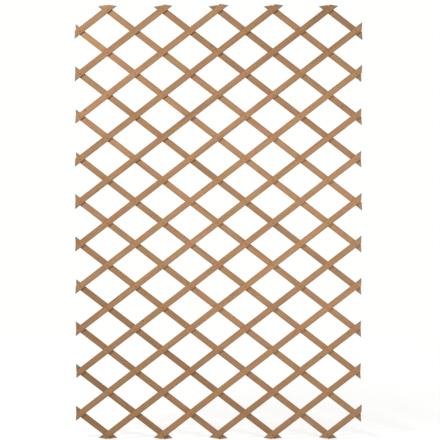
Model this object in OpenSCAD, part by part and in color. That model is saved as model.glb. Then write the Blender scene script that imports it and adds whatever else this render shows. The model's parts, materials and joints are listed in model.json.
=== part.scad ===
// Expanding diamond trellis: two layers of wooden laths, riveted together at every crossing.
// Millimetres, +Z up. The front faces -Y and the rear face of the rear laths lies on y = 0.
// The origin is on the axis of the foot rivet, at the middle of the bottom row of rivets.

/* [Lattice] */
// Number of diamonds across the panel
diamond_count_across = 5; // [2:1:5]
// Number of diamonds up the panel
diamond_count_up = 10; // [2:1:10]
// From rivet to rivet along a lath
rivet_pitch = 145; // [110:5:180]
// Slope of the laths, from level, as the panel stands open
open_slope = 37.65; // [25:0.05:65]

/* [Laths] */
// Width of a lath
lath_w = 26; // [20:0.5:32]
// Thickness of a lath
lath_t = 6; // [5:0.5:9]
// Width of the bevel on the long edges
arris = 0.8; // [0.3:0.1:1.5]

/* [Trimmed ends] */
// Slope of the laths while the two sides of the panel were trimmed upright
side_trim_slope = 40.5; // [36:0.5:54]
// Slope of the laths while its top and foot were trimmed level
level_trim_slope = 46; // [36:0.5:54]
// From the outer rivets to the trimmed left side, at the longest end
left_margin = 21; // [20:0.1:32]
// From the outer rivets to the trimmed right side, at the longest end
right_margin = 24.6; // [20:0.1:32]
// From the outer rivets to the trimmed top, at the longest end
top_margin = 22.7; // [20:0.1:32]
// From the outer rivets to the trimmed foot, at the longest end
foot_margin = 22.1; // [20:0.1:32]
// Most that a trimmed end falls short of the longest
trim_spread = 5; // [0:0.5:6]
// Seed of the uneven ends
trim_seed = 3; // [1:1:40]
// How far the laths lie off centre along their length, towards the right side
lath_shift = 2.2; // [-3:0.1:3]

/* [Rivets] */
// Diameter of the shank
shank_d = 3.6; // [3:0.1:5]
// Diameter of the domed head
head_d = 7; // [6:0.25:10]
// Height of the domed head
head_h = 1.5; // [1:0.1:2.5]
// Height of the straight rim below the dome
head_rim = 0.3; // [0.1:0.05:0.6]
// Wall of the hollow tail
tail_wall = 0.7; // [0.5:0.05:0.9]
// Depth of the hollow above the rolled edge
tail_depth = 3.5; // [2:0.25:4.5]
// Inside radius of the rolled edge
curl_r = 0.3; // [0.2:0.05:0.6]

/* [Fits] */
// Play all round the shank in its drilled holes
hole_play = 0.1; // [0.05:0.01:0.3]
// Gap between the two layers of laths
layer_gap = 0.2; // [0.1:0.05:0.5]
// Depth of the rolled tail below the rear face
tail_set = 0.1; // [0.05:0.05:0.4]
// Play under the rolled tail in its recess
seat_play = 0.1; // [0.05:0.05:0.3]
// Play all round the rolled tail in its recess
recess_play = 0.5; // [0.2:0.1:1]

/* [Hidden] */
$fn = 48;
overcut = 1;

// The rivets stand on a grid of half diamonds: column 0 at the left, row 0 at the top.
// A rivet stands wherever column plus row is odd.
last_col = 2 * diamond_count_across;
last_row = 2 * diamond_count_up;
col_step = rivet_pitch * cos(open_slope);
row_step = rivet_pitch * sin(open_slope);
foot_col = 2 * floor(diamond_count_across / 2) + 1;
lath_count = diamond_count_across + diamond_count_up;

front_y = -lath_t - layer_gap;
grip = 2 * lath_t + layer_gap;
trims = rands(0, 1, 4 * lath_count, trim_seed);

shank_r = shank_d / 2;
hole_r = shank_r + hole_play;
curl_outer_r = curl_r + tail_wall;
curl_axis_r = shank_r + curl_r;
curl_z = tail_set + curl_outer_r;
recess_r = curl_axis_r + curl_outer_r + recess_play;
recess_depth = curl_z + seat_play;
dome_h = head_h - head_rim;
dome_r = (pow(head_d / 2, 2) + pow(dome_h, 2)) / (2 * dome_h);

lath_colour = "#b5895f";
rear_colour = "#a67c55";
rivet_colour = "#8a5f38";

function numbered(name, i) = str(name, i < 10 ? "_0" : "_", i);

// Places on the grid
function col_x(col) = (col - foot_col) * col_step;
function row_z(row) = (last_row - row) * row_step;

// Lath i holds the rivets whose column plus row is 2i - 1, from its low end up.
function low_col(i) = max(0, 2 * i - 1 - last_row);
function high_col(i) = min(last_col, 2 * i - 1);
function row_of(i, col) = 2 * i - 1 - col;
function rivet_count(i) = high_col(i) - low_col(i) + 1;
function is_foot(i, col) = col == foot_col && row_of(i, col) == last_row;

// An end is cut upright at a side of the panel, and level at its top or foot.
function low_at_side(i) = low_col(i) == 0;
function high_at_side(i) = high_col(i) == last_col;
function cut_run(at_side) = at_side ? tan(side_trim_slope) : -1 / tan(level_trim_slope);
function side_reach(margin, trim) = (margin - trim_spread * trim) / cos(side_trim_slope);
function level_reach(margin, trim) = (margin - trim_spread * trim) / sin(level_trim_slope);

// Outline of a lath seen from the front, with its first rivet at the origin and its length along X
module lath_outline(i, trim, low_margin, high_margin, shift) {
    low = shift - (low_at_side(i)
        ? side_reach(low_margin, trims[trim])
        : level_reach(foot_margin, trims[trim]));
    high = shift + (rivet_count(i) - 1) * rivet_pitch + (high_at_side(i)
        ? side_reach(high_margin, trims[trim + 1])
        : level_reach(top_margin, trims[trim + 1]));
    low_run = cut_run(low_at_side(i)) * lath_w / 2;
    high_run = cut_run(high_at_side(i)) * lath_w / 2;
    polygon([
        [low - low_run, -lath_w / 2],
        [high - high_run, -lath_w / 2],
        [high + high_run, lath_w / 2],
        [low + low_run, lath_w / 2]
    ]);
}

// Section of a lath with its four long edges bevelled
module lath_section() {
    half = lath_w / 2;
    polygon([
        [arris, -half], [lath_t - arris, -half], [lath_t, arris - half], [lath_t, half - arris],
        [lath_t - arris, half], [arris, half], [0, half - arris], [0, arris - half]
    ]);
}

// A drilled lath lying on its rear face: length along X, width along Y, front face up
module lath(i, trim, low_margin, high_margin, shift, recessed) {
    spare = rivet_pitch;
    bar = (rivet_count(i) - 1) * rivet_pitch + 2 * spare;
    difference() {
        intersection() {
            linear_extrude(lath_t)
                lath_outline(i, trim, low_margin, high_margin, shift);
            translate([-spare, 0, 0])
                rotate([0, -90, 180])
                    linear_extrude(bar)
                        lath_section();
        }
        for (k = [0:rivet_count(i) - 1])
            translate([k * rivet_pitch, 0, 0]) {
                translate([0, 0, -overcut])
                    cylinder(r = hole_r, h = lath_t + 2 * overcut);
                if (recessed)
                    translate([0, 0, -overcut])
                        cylinder(r = recess_r, h = recess_depth + overcut);
            }
    }
}

// Half section of a rivet, from its rolled tail at the rear to its domed head
module rivet_section() {
    translate([shank_r - tail_wall, curl_z])
        square([tail_wall, tail_depth]);
    translate([0, curl_z + tail_depth])
        square([shank_r, grip - curl_z - tail_depth]);
    translate([curl_axis_r, curl_z])
        intersection() {
            difference() {
                circle(r = curl_outer_r);
                circle(r = curl_r);
            }
            translate([-curl_outer_r, -curl_outer_r])
                square([2 * curl_outer_r, curl_outer_r]);
        }
    translate([0, grip])
        square([head_d / 2, head_rim]);
    translate([0, grip + head_rim])
        intersection() {
            translate([0, dome_h - dome_r])
                circle(r = dome_r);
            square([head_d / 2, dome_h]);
        }
}

module rivet(col, row) {
    translate([col_x(col), 0, row_z(row)])
        rotate([90, 0, 0])
            rotate_extrude()
                rivet_section();
}

module foot_rivet() {
    color(rivet_colour)
        rivet(foot_col, last_row);
}

module front_lath(i) {
    color(lath_colour)
        translate([col_x(low_col(i)), front_y, row_z(row_of(i, low_col(i)))])
            rotate([90, -open_slope, 0])
                lath(i, 2 * (i - 1), left_margin, right_margin, lath_shift, false);
}

module rear_lath(i) {
    color(rear_colour)
        translate([col_x(last_col - low_col(i)), 0, row_z(row_of(i, low_col(i)))])
            mirror([1, 0, 0])
                rotate([90, -open_slope, 0])
                    lath(i, 2 * (lath_count + i - 1), right_margin, left_margin, -lath_shift, true);
}

// The rivets that front lath i carries
module rivets(i) {
    color(rivet_colour)
        for (col = [low_col(i):high_col(i)])
            if (!is_foot(i, col))
                rivet(col, row_of(i, col));
}

foot_rivet();
for (i = [1:lath_count]) {
    front_lath(i);
    rear_lath(i);
    rivets(i);
}
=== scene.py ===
import json
import math
import random

import bmesh
import bpy
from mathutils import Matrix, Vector

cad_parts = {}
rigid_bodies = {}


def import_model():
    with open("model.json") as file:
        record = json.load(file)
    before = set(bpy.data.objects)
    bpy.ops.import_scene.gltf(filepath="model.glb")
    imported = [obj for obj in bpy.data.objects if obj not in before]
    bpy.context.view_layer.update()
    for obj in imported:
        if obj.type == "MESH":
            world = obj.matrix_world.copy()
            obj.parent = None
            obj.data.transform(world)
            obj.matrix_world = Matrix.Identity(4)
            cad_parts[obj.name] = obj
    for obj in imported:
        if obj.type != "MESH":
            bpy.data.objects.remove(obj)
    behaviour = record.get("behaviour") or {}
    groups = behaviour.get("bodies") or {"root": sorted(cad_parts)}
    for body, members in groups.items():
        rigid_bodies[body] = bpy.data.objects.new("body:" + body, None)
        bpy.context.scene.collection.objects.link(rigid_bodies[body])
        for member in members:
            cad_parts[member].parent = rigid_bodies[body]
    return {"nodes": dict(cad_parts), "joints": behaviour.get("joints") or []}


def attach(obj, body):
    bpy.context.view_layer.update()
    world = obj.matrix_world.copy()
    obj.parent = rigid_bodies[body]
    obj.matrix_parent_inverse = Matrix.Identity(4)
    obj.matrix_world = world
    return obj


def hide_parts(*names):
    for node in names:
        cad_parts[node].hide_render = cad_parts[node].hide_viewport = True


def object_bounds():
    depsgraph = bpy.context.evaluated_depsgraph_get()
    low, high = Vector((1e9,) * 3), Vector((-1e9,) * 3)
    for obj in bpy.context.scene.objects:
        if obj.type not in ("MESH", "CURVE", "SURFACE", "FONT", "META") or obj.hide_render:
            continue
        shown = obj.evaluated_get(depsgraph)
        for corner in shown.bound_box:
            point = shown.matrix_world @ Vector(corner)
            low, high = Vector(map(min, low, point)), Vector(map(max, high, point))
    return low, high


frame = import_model()
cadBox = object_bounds()
floorHeight = cadBox[0].z
print("frame loaded,", len(frame["nodes"]), "CAD nodes")

# The lattice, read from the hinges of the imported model
fold = next(joint for joint in frame["joints"] if joint["name"] == "fold")
foot = Vector(fold["pos_m"])
stepsUp = [
    Vector(joint["pos_m"]) - foot
    for joint in frame["joints"] if joint["parent"] == fold["child"]
]
stepUp = min(stepsUp, key=lambda step: step.length)
pitch = stepUp.length
slope = math.atan2(stepUp.z, stepUp.x)
lathCount = sum(name.startswith("front_lath") for name in frame["nodes"])
layers = {   # turn of a lath about Y, and the range of its tones
    "front": {"turn": -slope, "recessed": False, "tones": (0.966, 1.098)},
    "rear": {"turn": slope - math.pi, "recessed": True, "tones": (0.84, 1.104)},
}
print("lattice: pitch %.4f m, slope %.2f degrees, %d laths a layer"
      % (pitch, math.degrees(slope), lathCount))


def deselectAll():
    bpy.ops.object.select_all(action="DESELECT")


# Camera, on the photograph's line of sight

cameraSetup = {
    "aim": (0.0094, -0.006, 0.8972),   # the point at the middle of the picture
    "distance": 5.2,
    "rise": math.radians(1.2),
    "frameWidth": 1.8346,              # metres across the picture, at the aim
    "clipEnd": 50,
}


def makeCamera():
    aim = Vector(cameraSetup["aim"])
    sight = Vector((0, math.cos(cameraSetup["rise"]), -math.sin(cameraSetup["rise"])))
    deselectAll()
    bpy.ops.object.camera_add(location=aim - sight * cameraSetup["distance"])
    camera = bpy.context.active_object
    camera.name = "photoCamera"
    camera.rotation_euler = sight.to_track_quat("-Z", "Y").to_euler()
    camera.data.sensor_fit = "HORIZONTAL"
    camera.data.angle = 2 * math.atan(cameraSetup["frameWidth"] / 2 / cameraSetup["distance"])
    camera.data.clip_end = cameraSetup["clipEnd"]
    bpy.context.scene.camera = camera


makeCamera()
print("camera set")


# Shader helpers: a number or a socket may go into any input

def feed(tree, socket, value):
    if isinstance(value, bpy.types.NodeSocket):
        tree.links.new(value, socket)
    elif value is not None:
        socket.default_value = value


def calc(tree, operation, *values):
    node = tree.nodes.new("ShaderNodeMath")
    node.operation = operation
    for socket, value in zip(node.inputs, values):
        feed(tree, socket, value)
    return node.outputs[0]


def vectorCalc(tree, operation, *values):
    node = tree.nodes.new("ShaderNodeVectorMath")
    node.operation = operation
    for socket, value in zip(node.inputs, values):
        feed(tree, socket, value)
    return node.outputs


def hypotenuse(tree, first, second):
    squares = [calc(tree, "POWER", side, 2.0) for side in (first, second)]
    return calc(tree, "SQRT", calc(tree, "ADD", *squares))


def smoothMask(tree, value, start, end):
    node = tree.nodes.new("ShaderNodeMapRange")
    node.interpolation_type = "SMOOTHSTEP"
    for socket, number in zip(node.inputs, (value, start, end, 0.0, 1.0)):
        feed(tree, socket, number)
    return node.outputs[0]


def fadeOut(tree, value, start, end):
    return calc(tree, "SUBTRACT", 1.0, smoothMask(tree, value, start, end))


def spread(tree, value, low, high):
    node = tree.nodes.new("ShaderNodeMapRange")
    for socket, number in zip(node.inputs, (value, 0.0, 1.0, low, high)):
        feed(tree, socket, number)
    return node.outputs[0]


def mixColour(tree, factor, under, over, blend="MIX"):
    node = tree.nodes.new("ShaderNodeMix")
    node.data_type = "RGBA"
    node.blend_type = blend
    feed(tree, node.inputs[0], factor)
    feed(tree, node.inputs[6], under)
    feed(tree, node.inputs[7], over)
    return node.outputs[2]


def layOver(tree, mask, share, under, over):
    return mixColour(tree, calc(tree, "MULTIPLY", mask, share), under, over)


def tinted(tree, colour, tint):
    return mixColour(tree, 1.0, colour, tint, "MULTIPLY")


def toned(tree, colour, tone):
    return vectorCalc(tree, "SCALE", colour, None, None, tone)["Vector"]


def stretched(tree, vector, along, across):
    return vectorCalc(tree, "MULTIPLY", vector, (along, across, across))["Vector"]


def noise(tree, vector, scale, detail, roughness, distortion=0.0):
    node = tree.nodes.new("ShaderNodeTexNoise")
    feed(tree, node.inputs["Vector"], vector)
    node.inputs["Scale"].default_value = scale
    node.inputs["Detail"].default_value = detail
    node.inputs["Roughness"].default_value = roughness
    node.inputs["Distortion"].default_value = distortion
    return node.outputs[0]


def parts(tree, vector):
    node = tree.nodes.new("ShaderNodeSeparateXYZ")
    feed(tree, node.inputs[0], vector)
    return node.outputs


def newGroup(name, inputs, outputs):
    tree = bpy.data.node_groups.new(name, "ShaderNodeTree")
    for label, kind in inputs:
        tree.interface.new_socket(label, in_out="INPUT", socket_type=kind)
    for label in outputs:
        tree.interface.new_socket(label, in_out="OUTPUT", socket_type="NodeSocketFloat")
    given = tree.nodes.new("NodeGroupInput").outputs
    made = tree.nodes.new("NodeGroupOutput").inputs
    return tree, given, made


def newMaterial(name):
    material = bpy.data.materials.new(name)
    material.use_nodes = True
    tree = material.node_tree
    return material, tree, tree.nodes["Principled BSDF"]


def placeGroup(tree, group, values):
    node = tree.nodes.new("ShaderNodeGroup")
    node.node_tree = group
    for label, value in values.items():
        feed(tree, node.inputs[label], value)
    return node.outputs


def bump(tree, shader, height, distance, strength=1.0):
    node = tree.nodes.new("ShaderNodeBump")
    node.inputs["Distance"].default_value = distance
    node.inputs["Strength"].default_value = strength
    feed(tree, node.inputs["Height"], height)
    tree.links.new(node.outputs[0], shader.inputs["Normal"])


def attribute(tree, name, output):
    node = tree.nodes.new("ShaderNodeAttribute")
    node.attribute_name = name
    return node.outputs[output]


def gapTo(tree, place, name):
    return vectorCalc(tree, "DISTANCE", place, attribute(tree, name, "Vector"))["Value"]


# Grain of a sawn lath. Place is metres along, across and through the lath.
# A pair such as drift is marks a metre along and across, a detail a noise's detail and roughness.

grain = {
    "boardShift": (23.0, 17.0, 11.0),   # how far apart the boards of different seeds lie
    "drift": (7.0, 24.0), "driftDetail": (3.0, 0.78),
    "hueScale": 2.9, "hueDetail": (2.0, 0.55),
    "hueShift": {"Blush": (51.0, 7.0, 3.0), "Yellowing": (-37.0, 19.0, 5.0)},
    "knotsPerMetre": 3.6, "knotSize": 0.0048, "knotEdge": (0.55, 1.1),
    "knotSwirl": 0.006, "swirlReach": 3.6,
    "wander": (2.3, 5.0), "wanderDetail": (2.0, 0.5),
    "ringWidth": 0.0027, "ringWander": 0.0075,
    "lateRise": (0.3, 0.86), "lateFall": (0.9, 1.0),
    "pithAside": 0.07, "pithDeep": (0.010, 0.055),
    "fibre": (34.0, 1100.0), "fibreDetail": (4.0, 0.62),
    "pore": (120.0, 2600.0), "poreDetail": (1.0, 0.5), "poreEdge": (0.6, 0.72),
}


def makeGrainGroup():
    tree, given, made = newGroup(
        "lathGrain",
        [("Place", "NodeSocketVector"), ("Seed", "NodeSocketFloat")],
        ["Late Wood", "Fibre", "Pores", "Knot", "Drift", "Blush", "Yellowing"],
    )
    dice = tree.nodes.new("ShaderNodeTexWhiteNoise")
    dice.noise_dimensions = "1D"
    feed(tree, dice.inputs["W"], given["Seed"])
    throws = parts(tree, dice.outputs["Color"])
    place = vectorCalc(tree, "MULTIPLY_ADD", dice.outputs["Color"], grain["boardShift"],
                       given["Place"])["Vector"]
    sides = parts(tree, given["Place"])

    # Slow drift of the tone along the lath, and of its colour
    slow = stretched(tree, place, *grain["drift"])
    feed(tree, made["Drift"], noise(tree, slow, 1.0, *grain["driftDetail"]))
    for output, shift in grain["hueShift"].items():
        shifted = vectorCalc(tree, "ADD", slow, shift)["Vector"]
        feed(tree, made[output], noise(tree, shifted, grain["hueScale"], *grain["hueDetail"]))

    # Knots, thrown over the board that the lath was ripped from
    cells = tree.nodes.new("ShaderNodeTexVoronoi")
    cells.voronoi_dimensions = "2D"
    cells.feature = "F1"
    feed(tree, cells.inputs["Vector"], place)
    cells.inputs["Scale"].default_value = grain["knotsPerMetre"]
    near = cells.outputs["Distance"]
    size = grain["knotSize"] * grain["knotsPerMetre"]
    feed(tree, made["Knot"], fadeOut(tree, near, *(size * edge for edge in grain["knotEdge"])))
    swirl = fadeOut(tree, near, 0.0, size * grain["swirlReach"])

    # Growth rings round a pith outside the lath
    wander = noise(tree, stretched(tree, place, *grain["wander"]), 1.0, *grain["wanderDetail"])
    wander = calc(tree, "MULTIPLY", wander, grain["ringWander"])
    wander = calc(tree, "MULTIPLY_ADD", swirl, grain["knotSwirl"], wander)
    aside = calc(tree, "SUBTRACT", throws[0], 0.5)
    aside = calc(tree, "MULTIPLY_ADD", aside, grain["pithAside"], sides[1])
    deep = calc(tree, "ADD", spread(tree, throws[1], *grain["pithDeep"]), sides[2])
    reach = calc(tree, "ADD", hypotenuse(tree, aside, deep), wander)
    ring = calc(tree, "FRACT", calc(tree, "DIVIDE", reach, grain["ringWidth"]))
    late = calc(tree, "SUBTRACT", smoothMask(tree, ring, *grain["lateRise"]),
                smoothMask(tree, ring, *grain["lateFall"]))
    feed(tree, made["Late Wood"], late)

    # Fibres and short open pores
    fibre = stretched(tree, place, *grain["fibre"])
    feed(tree, made["Fibre"], noise(tree, fibre, 1.0, *grain["fibreDetail"]))
    pore = noise(tree, stretched(tree, place, *grain["pore"]), 1.0, *grain["poreDetail"])
    feed(tree, made["Pores"], smoothMask(tree, pore, *grain["poreEdge"]))
    return tree


lathWood = {
    "early": (0.598, 0.328, 0.160, 1), "late": (0.431, 0.203, 0.0815, 1),
    "knot": (0.190, 0.080, 0.030, 1), "pore": (0.26, 0.127, 0.053, 1),
    "rosy": (1.058, 0.950, 0.99, 1), "olive": (0.952, 1.036, 1.0, 1),
    "golden": (1.0, 1.0, 0.84, 1), "silvery": (1.0, 1.0, 1.14, 1), "hueEdge": (0.32, 0.68),
    "lateShare": 0.46, "poreShare": 0.3, "knotShare": 0.7,
    "fibreShare": (0.81, 1.17), "driftShare": (0.66, 1.32),
    "edge": (0.0030, 0.0088), "edgeTone": (0.875, 0.935, 1.0, 1),     # from the middle of the lath
    "stain": (0.002, 0.013), "stainTone": (1.065, 0.94, 0.85, 1),     # from a rivet
    # painted shade at the lath tips: the ends turn greyer and darker
    "tipGreyReach": (0.010, 0.029), "tipGrey": (0.335, 0.312, 0.228, 1), "tipGreyShare": 0.8,
    "roughness": (0.62, 0.84), "specular": 0.3,
    "sawMark": 0.0021, "sawBump": 0.08, "lateBump": 0.3, "poreBump": -0.5,
    "bumpDepth": 0.00035, "bumpStrength": 0.7,
}


def makeLathWood(grainGroup):
    material, tree, shader = newMaterial("lathWood")
    place = attribute(tree, "grainSpace", "Vector")
    seed = attribute(tree, "lathSeed", "Fac")
    marks = placeGroup(tree, grainGroup, {"Place": place, "Seed": seed})
    sides = parts(tree, place)

    wood = layOver(tree, marks["Late Wood"], lathWood["lateShare"],
                   lathWood["early"], lathWood["late"])
    wood = layOver(tree, marks["Pores"], lathWood["poreShare"], wood, lathWood["pore"])
    for mark, cool, warm in (("Blush", "olive", "rosy"), ("Yellowing", "silvery", "golden")):
        hue = smoothMask(tree, marks[mark], *lathWood["hueEdge"])
        wood = tinted(tree, wood, mixColour(tree, hue, lathWood[cool], lathWood[warm]))
    wood = layOver(tree, marks["Knot"], lathWood["knotShare"], wood, lathWood["knot"])

    # Each lath has its own tone, and the tone drifts along it
    tone = attribute(tree, "lathTone", "Fac")
    tone = calc(tree, "MULTIPLY", tone, spread(tree, marks["Drift"], *lathWood["driftShare"]))
    tone = calc(tree, "MULTIPLY", tone, spread(tree, marks["Fibre"], *lathWood["fibreShare"]))
    wood = toned(tree, wood, tone)

    # A darker, greyer band along both edges, the stain that each rivet leaves round its head, and
    # painted shade at the tips
    # edges: the colour turns darker and greyer towards both sides of each lath's face
    edge = smoothMask(tree, calc(tree, "ABSOLUTE", sides[1]), *lathWood["edge"])
    wood = mixColour(tree, edge, wood, tinted(tree, wood, lathWood["edgeTone"]))
    nearest = calc(tree, "ROUND", calc(tree, "DIVIDE", sides[0], pitch))
    offAlong = calc(tree, "SUBTRACT", sides[0], calc(tree, "MULTIPLY", nearest, pitch))
    clear = smoothMask(tree, hypotenuse(tree, offAlong, sides[1]), *lathWood["stain"])
    wood = mixColour(tree, clear, tinted(tree, wood, lathWood["stainTone"]), wood)
    # painted shade: the wood greys and darkens towards each tip of the lath
    tipGap = calc(tree, "MINIMUM", gapTo(tree, place, "lowTip"), gapTo(tree, place, "highTip"))
    paintedTipShade = fadeOut(tree, tipGap, *lathWood["tipGreyReach"])
    wood = layOver(tree, paintedTipShade, lathWood["tipGreyShare"], wood, lathWood["tipGrey"])
    tree.links.new(wood, shader.inputs["Base Color"])

    rough = spread(tree, marks["Fibre"], *lathWood["roughness"])
    tree.links.new(rough, shader.inputs["Roughness"])
    shader.inputs["Specular IOR Level"].default_value = lathWood["specular"]
    saw = calc(tree, "SINE", calc(tree, "MULTIPLY", sides[0], 2 * math.pi / lathWood["sawMark"]))
    height = calc(tree, "MULTIPLY_ADD", saw, lathWood["sawBump"], marks["Fibre"])
    height = calc(tree, "MULTIPLY_ADD", marks["Late Wood"], lathWood["lateBump"], height)
    height = calc(tree, "MULTIPLY_ADD", marks["Pores"], lathWood["poreBump"], height)
    bump(tree, shader, height, lathWood["bumpDepth"], lathWood["bumpStrength"])
    return material


lathEnd = {
    "early": (0.43, 0.245, 0.132, 1), "late": (0.25, 0.12, 0.056, 1), "lateShare": 0.7,
    "cellScale": 1500.0, "cellDetail": (2.0, 0.6), "cellShare": (0.78, 1.15),
    "roughness": 0.9, "specular": 0.2, "lateBump": 0.4, "bumpDepth": 0.0003,
}


def makeLathEnd(grainGroup):
    material, tree, shader = newMaterial("lathEndGrain")
    place = attribute(tree, "grainSpace", "Vector")
    seed = attribute(tree, "lathSeed", "Fac")
    marks = placeGroup(tree, grainGroup, {"Place": place, "Seed": seed})
    wood = layOver(tree, marks["Late Wood"], lathEnd["lateShare"],
                   lathEnd["early"], lathEnd["late"])
    cells = noise(tree, place, lathEnd["cellScale"], *lathEnd["cellDetail"])
    wood = toned(tree, wood, spread(tree, cells, *lathEnd["cellShare"]))
    tree.links.new(wood, shader.inputs["Base Color"])
    shader.inputs["Roughness"].default_value = lathEnd["roughness"]
    shader.inputs["Specular IOR Level"].default_value = lathEnd["specular"]
    height = calc(tree, "MULTIPLY_ADD", marks["Late Wood"], lathEnd["lateBump"], cells)
    bump(tree, shader, height, lathEnd["bumpDepth"])
    return material


rivetBrass = {
    "bright": (0.38, 0.195, 0.090, 1), "dull": (0.28, 0.135, 0.060, 1),
    "tarnishScale": 420.0, "tarnishDetail": (4.0, 0.6, 0.4), "tarnishEdge": (0.36, 0.66),
    "pitScale": 2600.0, "pitDetail": (2.0, 0.5), "pitBump": 0.5,
    "roughness": (0.46, 0.70), "bumpDepth": 0.00006,
}


def makeRivetBrass():
    material, tree, shader = newMaterial("rivetBrass")
    spot = tree.nodes.new("ShaderNodeTexCoord").outputs["Object"]
    tarnish = noise(tree, spot, rivetBrass["tarnishScale"], *rivetBrass["tarnishDetail"])
    pits = noise(tree, spot, rivetBrass["pitScale"], *rivetBrass["pitDetail"])
    cover = smoothMask(tree, tarnish, *rivetBrass["tarnishEdge"])
    metal = mixColour(tree, cover, rivetBrass["bright"], rivetBrass["dull"])
    tree.links.new(metal, shader.inputs["Base Color"])
    shader.inputs["Metallic"].default_value = 1.0
    tree.links.new(spread(tree, cover, *rivetBrass["roughness"]), shader.inputs["Roughness"])
    height = calc(tree, "MULTIPLY_ADD", pits, rivetBrass["pitBump"], tarnish)
    bump(tree, shader, height, rivetBrass["bumpDepth"])
    return material


grainGroup = makeGrainGroup()
woodFinish = makeLathWood(grainGroup)
endFinish = makeLathEnd(grainGroup)
brassFinish = makeRivetBrass()
print("materials made")


# Modelling helpers

def makeActive(piece):
    deselectAll()
    piece.select_set(True)
    bpy.context.view_layer.objects.active = piece


def pickEdges(piece, test):
    bpy.ops.mesh.select_mode(type="EDGE")
    bpy.ops.mesh.select_all(action="DESELECT")
    mesh = bmesh.from_edit_mesh(piece.data)
    for edge in mesh.edges:
        edge.select_set(test(edge))
    bmesh.update_edit_mesh(piece.data)


def cut(point, normal, clear=False):
    bpy.ops.mesh.select_all(action="SELECT")
    normal = Vector(normal).normalized()   # bisect clips each number to 1
    bpy.ops.mesh.bisect(plane_co=point, plane_no=normal, use_fill=clear, clear_outer=clear)


def settle(piece):
    makeActive(piece)
    bpy.ops.object.transform_apply(location=True, rotation=True, scale=True)


# Laths: bars ripped to size, mitred, eased, drilled and recessed

lath = {
    "arris": 0.0011, "arrisSteps": 2, "endEase": 0.0004,
    "bays": 6, "strips": (-0.0082, -0.0044, 0.0044, 0.0082),   # cuts that miss the holes
    "uneven": 0.0004, "unevenLevel": 0.85, "unevenSize": 0.075, "unevenDepth": 2,
    "holeRadius": 0.0019, "holeSides": 20,
    "recessRadius": 0.0036, "recessDepth": 0.0012, "recessSides": 28,
    "outlineHair": 0.00002,   # corners this near to the outline are on it
    "straightEdge": 0.999, "easedFacing": 0.3, "endGrainFacing": 0.35,
    "smoothAngle": math.radians(32),
    "seed": 7876, "grainSeeds": (0, 60),
}

unevenness = bpy.data.textures.new("lathUnevenness", "CLOUDS")
unevenness.noise_scale = lath["unevenSize"]
unevenness.noise_depth = lath["unevenDepth"]


def lathAxes(layer):
    turn = layers[layer]["turn"]
    along = Vector((math.cos(turn), 0, -math.sin(turn)))
    across = Vector((math.sin(turn), 0, math.cos(turn)))
    return along, across


def lathPlan(node, layer):
    along, across = lathAxes(layer)
    corners = [vertex.co - foot for vertex in frame["nodes"][node].data.vertices]
    spots = [(corner.dot(along), corner.dot(across), corner.y) for corner in corners]
    low, high = min(spot[1] for spot in spots), max(spot[1] for spot in spots)
    hair = lath["outlineHair"]
    lowSide = [spot[0] for spot in spots if spot[1] < low + hair]
    highSide = [spot[0] for spot in spots if spot[1] > high - hair]
    middle = (low + high) / 2
    spacing = pitch * math.sin(2 * slope)
    drop = pitch * math.cos(2 * slope) * (-1 if layer == "front" else 1)
    offset = round(middle / spacing) * drop
    start, end = min(lowSide + highSide), max(lowSide + highSide)
    first = math.ceil((start - offset) / pitch)
    last = math.floor((end - offset) / pitch)
    return {
        "width": high - low, "middle": middle,
        "starts": (min(lowSide), min(highSide)), "ends": (max(lowSide), max(highSide)),
        "front": min(spot[2] for spot in spots), "back": max(spot[2] for spot in spots),
        "rivets": [offset + pitch * k for k in range(first, last + 1)],
    }


def runsAlong(edge):
    run = (edge.verts[0].co - edge.verts[1].co).normalized()
    return abs(run.x) > lath["straightEdge"]


def meetsEnd(edge):
    return any(abs(face.normal.x) > lath["easedFacing"] for face in edge.link_faces)


def makeBar(name, plan):
    length = max(plan["ends"]) - min(plan["starts"])
    deselectAll()
    bpy.ops.mesh.primitive_cube_add(size=1)
    bar = bpy.context.active_object
    bar.name = bar.data.name = name
    bar.scale = (length, plan["back"] - plan["front"], plan["width"])
    bar.location = (
        (max(plan["ends"]) + min(plan["starts"])) / 2,
        (plan["front"] + plan["back"]) / 2, plan["middle"],
    )
    settle(bar)
    bpy.ops.object.mode_set(mode="EDIT")
    for cuts, outward in ((plan["starts"], -1), (plan["ends"], 1)):   # mitres
        run = (cuts[1] - cuts[0]) / plan["width"]
        cut((sum(cuts) / 2, 0, plan["middle"]), (outward, 0, -outward * run), True)
    pickEdges(bar, runsAlong)
    bpy.ops.mesh.bevel(
        offset=lath["arris"], segments=lath["arrisSteps"], profile=0.5, affect="EDGES")
    pickEdges(bar, meetsEnd)
    bpy.ops.mesh.bevel(offset=lath["endEase"], segments=1, affect="EDGES", clamp_overlap=True)
    bay = pitch / lath["bays"]
    station = plan["rivets"][0] - bay / 2 - pitch
    while station < max(plan["ends"]):
        if max(plan["starts"]) < station < min(plan["ends"]):
            cut((station, 0, 0), (1, 0, 0))
        station += bay
    for strip in lath["strips"]:
        cut((0, 0, plan["middle"] + strip), (0, 0, 1))
    bpy.ops.object.mode_set(mode="OBJECT")
    return bar


def makeDrills(plan, recessed):
    deselectAll()
    drills = []
    front, back = plan["front"], plan["back"]
    bores = [(lath["holeSides"], lath["holeRadius"], (back - front) * 2, (front + back) / 2)]
    if recessed:
        bores.append((lath["recessSides"], lath["recessRadius"], lath["recessDepth"] * 2, back))
    for along in plan["rivets"]:
        for sides, radius, depth, level in bores:
            bpy.ops.mesh.primitive_cylinder_add(
                vertices=sides, radius=radius, depth=depth,
                location=(along, level, plan["middle"]), rotation=(math.pi / 2, 0, 0))
            drills.append(bpy.context.active_object)
    for drill in drills:
        drill.select_set(True)
    bpy.ops.object.join()
    bpy.ops.object.transform_apply(location=True, rotation=True, scale=True)
    return bpy.context.active_object


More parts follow.
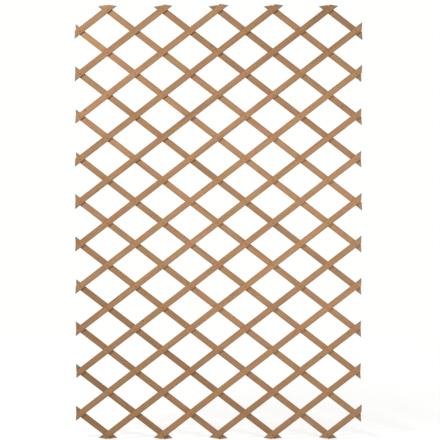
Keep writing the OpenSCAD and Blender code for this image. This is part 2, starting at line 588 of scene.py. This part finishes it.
def applyModifier(piece, kind, **settings):
    makeActive(piece)
    modifier = piece.modifiers.new(kind.lower(), kind)
    for key, value in settings.items():
        setattr(modifier, key, value)
    bpy.ops.object.modifier_apply(modifier=modifier.name)


def writeAttribute(mesh, name, kind, field, values):
    mesh.attributes.new(name, kind, "POINT").data.foreach_set(field, values)


def markGrain(piece, plan, layer):
    along, across = lathAxes(layer)
    mesh = piece.data
    count = len(mesh.vertices)
    first = plan["rivets"][0]
    centre = (plan["front"] + plan["back"]) / 2
    spaces = []
    for vertex in mesh.vertices:
        spot = vertex.co - foot
        spaces += [spot.dot(along) - first, spot.dot(across) - plan["middle"], spot.y - centre]
    writeAttribute(mesh, "grainSpace", "FLOAT_VECTOR", "vector", spaces)
    for name, cuts, furthest in (("lowTip", plan["starts"], min), ("highTip", plan["ends"], max)):
        reach = furthest(cuts)
        side = plan["width"] / 2 * (-1 if reach == cuts[0] else 1)
        writeAttribute(mesh, name, "FLOAT_VECTOR", "vector", [reach - first, side, 0] * count)
    throws = {
        "lathSeed": rng.uniform(*lath["grainSeeds"]),
        "lathTone": rng.uniform(*layers[layer]["tones"]),
    }
    for name, value in throws.items():
        writeAttribute(mesh, name, "FLOAT", "value", [value] * count)
    for face in mesh.polygons:   # the second material is the end grain
        face.material_index = int(abs(face.normal.dot(along)) > lath["endGrainFacing"])


def makeLath(layer, number):
    node = "%s_lath_%02d" % (layer, number)
    plan = lathPlan(node, layer)
    piece = makeBar("%sLath%02d" % (layer, number), plan)
    drills = makeDrills(plan, layers[layer]["recessed"])
    for part in (piece, drills):
        part.rotation_euler = (0, layers[layer]["turn"], 0)
        part.location = foot
        settle(part)
    applyModifier(piece, "DISPLACE", texture=unevenness, texture_coords="GLOBAL",
                  mid_level=lath["unevenLevel"], strength=lath["uneven"])
    applyModifier(piece, "BOOLEAN", operation="DIFFERENCE", solver="EXACT",
                  object=drills, use_self=True)
    bpy.data.objects.remove(drills)
    piece.data.materials.clear()
    for finish in (woodFinish, endFinish):
        piece.data.materials.append(finish)
    markGrain(piece, plan, layer)
    makeActive(piece)
    bpy.ops.object.shade_smooth_by_angle(angle=lath["smoothAngle"])
    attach(piece, "%s_%02d" % (layer, number))
    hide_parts(node)
    return plan


rng = random.Random(lath["seed"])
plans = {}
for layer in layers:
    for number in range(1, lathCount + 1):
        plans[layer, number] = makeLath(layer, number)
    print(layer, "laths made")


# Rivets: domed head in front, rolled hollow tail behind

rivet = {
    "sides": 16,
    # radius and height above the front face, from the crown of the head down to the shank
    "head": [(0.0007, 0.00148), (0.0017, 0.00132), (0.0026, 0.00097), (0.0032, 0.00052),
             (0.0035, 0.00026), (0.0034, 0.00002), (0.0018, 0.0)],
    # radius and depth behind the rear face, from the shank round the roll into the hollow
    "tail": [(0.0018, -0.0011), (0.00205, -0.0008), (0.0024, -0.0011), (0.0030, -0.0011),
             (0.0031, -0.0008), (0.0028, -0.00032), (0.0021, -0.0001), (0.00145, -0.00034),
             (0.0011, -0.0010), (0.0011, -0.0046)],
    "smoothAngle": math.radians(50),
}


def makeRivet():
    front, back = plans["front", 1]["front"], plans["rear", 1]["back"]
    rings = [(radius, front - height) for radius, height in rivet["head"]]
    rings += [(radius, back + depth) for radius, depth in rivet["tail"]]
    deselectAll()
    bpy.ops.mesh.primitive_circle_add(
        vertices=rivet["sides"], radius=rings[0][0], fill_type="NOTHING",
        location=(0, rings[0][1], 0), rotation=(math.pi / 2, 0, 0))
    piece = bpy.context.active_object
    piece.name = piece.data.name = "rivetPattern"
    settle(piece)
    bpy.ops.object.mode_set(mode="EDIT")
    bpy.ops.mesh.select_all(action="SELECT")
    bpy.ops.mesh.edge_face_add()
    pickEdges(piece, lambda edge: True)
    for (wide, level), (nextWide, nextLevel) in zip(rings, rings[1:]):
        rise = (0, nextLevel - level, 0)
        bpy.ops.mesh.extrude_edges_move(TRANSFORM_OT_translate={"value": rise})
        ratio = nextWide / wide
        bpy.ops.transform.resize(value=(ratio, 1, ratio), center_override=(0, nextLevel, 0))
    bpy.ops.mesh.edge_face_add()
    bpy.ops.mesh.select_all(action="SELECT")
    bpy.ops.mesh.normals_make_consistent(inside=False)
    bpy.ops.object.mode_set(mode="OBJECT")
    bpy.ops.object.shade_smooth_by_angle(angle=rivet["smoothAngle"])
    piece.data.materials.append(brassFinish)
    return piece


def setRivets(pattern, name, spots, body, node):
    copies = []
    for spot in spots:
        copy = pattern.copy()
        copy.data = pattern.data.copy()
        copy.location = spot
        bpy.context.scene.collection.objects.link(copy)
        copies.append(copy)
    deselectAll()
    for copy in copies:
        copy.select_set(True)
    bpy.context.view_layer.objects.active = copies[0]
    bpy.ops.object.join()
    piece = bpy.context.active_object
    piece.name = piece.data.name = name
    settle(piece)
    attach(piece, body)
    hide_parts(node)


rivetPattern = makeRivet()
alongFront, acrossFront = lathAxes("front")
for number in range(1, lathCount + 1):
    plan = plans["front", number]
    spots = [foot + alongFront * along + acrossFront * plan["middle"] for along in plan["rivets"]]
    spots = [spot for spot in spots if (spot - foot).length > pitch / 2]
    setRivets(rivetPattern, "rivets%02d" % number, spots,
              "front_%02d" % number, "rivets_%02d" % number)
setRivets(rivetPattern, "footRivet", [foot], "foot", "foot_rivet")
bpy.data.objects.remove(rivetPattern)
print("rivets made")


# Studio: pale floor and white surround, key light at the upper left, fill at the right, back light

studio = {
    "floorSize": 7.0, "floorColour": (0.55, 0.55, 0.54, 1), "floorRoughness": 0.9,
    "floorGlow": (0.64, 0.91), "floorFade": (0.3, 2.4),   # the floor fades into the surround
    "ambient": 0.14, "surround": (1.0, 1.0, 0.992, 1),
    "key": {"spot": (-1.48, -1.61, 2.45), "aim": (0, 0, 1.0), "size": 0.36, "power": 35.4,
            "spread": math.pi, "colour": (1.0, 0.985, 0.965)},
    "fill": {"spot": (0.80, -1.25, 0.67), "aim": (0.95, 0, 0), "size": 2.4, "power": 11.4,
             "spread": math.pi, "colour": (0.98, 0.99, 1.0)},
    "back": {"spot": (-0.8, 2.4, 2.1), "aim": (0, 0, 0.9), "size": 1.6, "power": 12,
             "spread": math.radians(80), "colour": (1.0, 1.0, 1.0)},
}


def seenDirectly(tree):
    rays = tree.nodes.new("ShaderNodeLightPath").outputs
    seen = calc(tree, "MAXIMUM", rays["Is Camera Ray"], rays["Is Glossy Ray"])
    return calc(tree, "MAXIMUM", seen, rays["Is Transmission Ray"])


def makeFloor():
    deselectAll()
    bpy.ops.mesh.primitive_plane_add(size=studio["floorSize"], location=(0, 0, floorHeight))
    floor = bpy.context.active_object
    floor.name = "studioFloor"
    material, tree, shader = newMaterial("studioFloor")
    shader.inputs["Roughness"].default_value = studio["floorRoughness"]
    shader.inputs["Base Color"].default_value = studio["floorColour"]
    shader.inputs["Specular IOR Level"].default_value = 0.0
    shader.inputs["Emission Color"].default_value = studio["surround"]
    spot = tree.nodes.new("ShaderNodeTexCoord").outputs["Object"]
    away = vectorCalc(tree, "LENGTH", spot)["Value"]
    glow = spread(tree, smoothMask(tree, away, *studio["floorFade"]), *studio["floorGlow"])
    glow = calc(tree, "MULTIPLY", seenDirectly(tree), glow)
    tree.links.new(glow, shader.inputs["Emission Strength"])
    floor.data.materials.append(material)


def makeSurround():
    world = bpy.data.worlds.new("studioSurround")
    bpy.context.scene.world = world
    world.use_nodes = True
    tree = world.node_tree
    back = tree.nodes["Background"]
    back.inputs["Color"].default_value = studio["surround"]
    strength = spread(tree, seenDirectly(tree), studio["ambient"], 1.0)
    tree.links.new(strength, back.inputs["Strength"])


def makeLight(name):
    setup = studio[name]
    bpy.ops.object.light_add(type="AREA", location=setup["spot"])
    light = bpy.context.active_object
    light.name = name + "Light"
    light.data.shape = "DISK"
    light.data.size = setup["size"]
    light.data.energy = setup["power"]
    light.data.spread = setup["spread"]
    light.data.color = setup["colour"]
    sight = Vector(setup["aim"]) - Vector(setup["spot"])
    light.rotation_euler = sight.to_track_quat("-Z", "Y").to_euler()


makeFloor()
makeSurround()
for name in ("key", "fill", "back"):
    makeLight(name)
bpy.context.scene.view_settings.view_transform = "Standard"
print("studio set")
